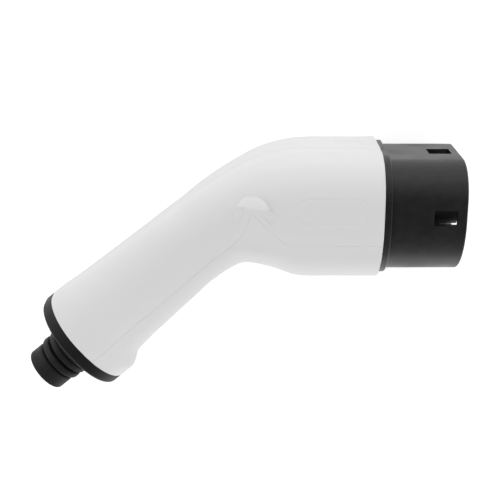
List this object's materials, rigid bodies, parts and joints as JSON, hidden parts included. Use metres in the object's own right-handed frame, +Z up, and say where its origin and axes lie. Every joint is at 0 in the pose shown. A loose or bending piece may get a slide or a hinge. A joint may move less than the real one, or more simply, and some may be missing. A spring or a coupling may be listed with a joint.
{
  "type": "ev charging plug",
  "caption": "Angled hand-held charging plug: D-shaped black nose with lock windows and socket towers, white two-part handle, black tail cap and ribbed strain relief.",
  "frame": {"origin": "centre of the earth contact, in the plane of the nose's front rim", "axes": "+X the way the nose points, +Y the flat top of the nose, +Z up from the floor that the plug lies on"},
  "size_m": [0.2322, 0.1395, 0.0788],
  "materials": {
    "white_shell": "gloss",
    "black_plastic": "satin",
    "carrier_plastic": "matt",
    "seal_rubber": "matt",
    "boot_rubber": "matt",
    "steel": "satin",
    "plated_brass": "silver plated",
    "resistor": "gloss"
  },
  "bodies": {
    "root": {"carrier_screws": "steel", "clamp_base": "carrier_plastic", "clamp_saddle": "carrier_plastic", "clamp_screws": "steel", "coding_resistor": "resistor", "contact_carrier": "carrier_plastic", "contact_cp": "plated_brass", "contact_l1": "plated_brass", "contact_l2": "plated_brass", "contact_l3": "plated_brass", "contact_n": "plated_brass", "contact_pe": "plated_brass", "contact_pp": "plated_brass", "contact_retainer": "carrier_plastic", "contact_springs": "steel", "gland_collar": "black_plastic", "lower_shell": "white_shell", "nose_seal": "seal_rubber", "nose_shroud": "black_plastic", "shell_screws": "steel", "strain_relief": "boot_rubber", "tail_cap": "black_plastic", "upper_shell": "white_shell"}
  },
  "joints": []
}
